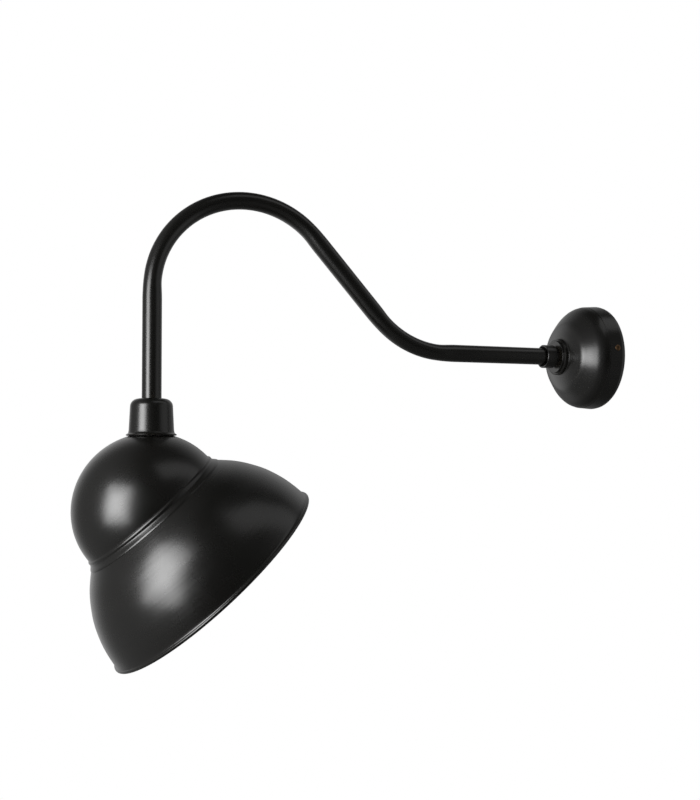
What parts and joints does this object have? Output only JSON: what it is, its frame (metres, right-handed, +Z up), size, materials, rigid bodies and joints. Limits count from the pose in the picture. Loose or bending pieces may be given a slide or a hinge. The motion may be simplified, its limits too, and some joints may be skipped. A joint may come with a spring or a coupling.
{
  "type": "gooseneck wall sconce",
  "caption": "Wall light with a bell-shaped wall cover, a bent tube arm and a tilted spun shade over a screw-in lamp.",
  "frame": {"origin": "middle of the wall bracket's back face, in the plane of the wall", "axes": "+Y into the wall, the arm reaches out along -Y, +Z up"},
  "size_m": [0.276, 0.6531, 0.5281],
  "materials": {
    "black_paint": "satin",
    "dark_bronze": "satin",
    "zinc_steel": "satin",
    "brass": "satin",
    "black_plastic": "matt",
    "white_ceramic": "gloss",
    "grey_rubber": "matt",
    "cream_plastic": "matt",
    "black_cable": "matt",
    "brown_core": "satin",
    "blue_core": "satin",
    "earth_green": "satin",
    "opal_glass": "satin",
    "shell_aluminium": "satin",
    "black_glass": "gloss"
  },
  "bodies": {
    "fixture": {"gooseneck_arm": "black_paint", "canopy": "black_paint", "hub_collar": "black_paint", "hub_flange": "black_paint", "socket_cap": "black_paint", "canopy_screw_right": "dark_bronze", "canopy_screw_left": "dark_bronze", "arm_washer": "zinc_steel", "arm_locknut": "zinc_steel", "tube_end_bush": "black_plastic", "wall_bracket": "zinc_steel", "terminal_block": "cream_plastic", "block_fixing_screw": "zinc_steel", "clamp_screw_lamp_live": "brass", "clamp_screw_lamp_neutral": "brass", "clamp_screw_lamp_earth": "brass", "clamp_screw_supply_live": "brass", "clamp_screw_supply_neutral": "brass", "clamp_screw_supply_earth": "brass", "earth_screw": "brass", "block_core_live": "brown_core", "block_core_neutral": "blue_core", "earth_core": "earth_green", "arm_cable": "black_cable", "arm_plug": "zinc_steel", "neck_grub_screw": "zinc_steel", "head_nipple": "brass", "cap_locknut": "zinc_steel", "lampholder_cap": "black_plastic", "lampholder_skirt": "black_plastic", "lampholder_core": "white_ceramic", "screw_shell": "brass", "centre_contact": "brass", "terminal_screw_live": "brass", "terminal_screw_neutral": "brass", "head_core_live": "brown_core", "head_core_neutral": "blue_core", "shade_washer": "grey_rubber", "shade_ring": "black_plastic"},
    "shade": {"shade": "black_paint"},
    "bulb_carrier": {"bulb_contact": "zinc_steel"},
    "bulb": {"bulb_globe": "opal_glass", "bulb_screw_base": "shell_aluminium", "bulb_insulator": "black_glass"}
  },
  "joints": [
    {"name": "shade_swivel", "type": "hinge", "parent": "fixture", "child": "shade", "pos_m": [0, -0.57, -0.103], "axis": [0, 0, 1], "range_deg": [-170, 170]},
    {"name": "bulb_travel", "type": "slide", "parent": "fixture", "child": "bulb_carrier", "axis": [0, 0, -1], "range_m": [0, 0.024]},
    {"name": "bulb_turn", "type": "hinge", "parent": "bulb_carrier", "child": "bulb", "pos_m": [0, -0.57, -0.11], "axis": [0, 0, -1], "range_deg": [0, 2381]}
  ],
  "couplings": [
    {"joint": "bulb_turn", "follows": "bulb_travel", "rad_per_m": 1730.9}
  ]
}
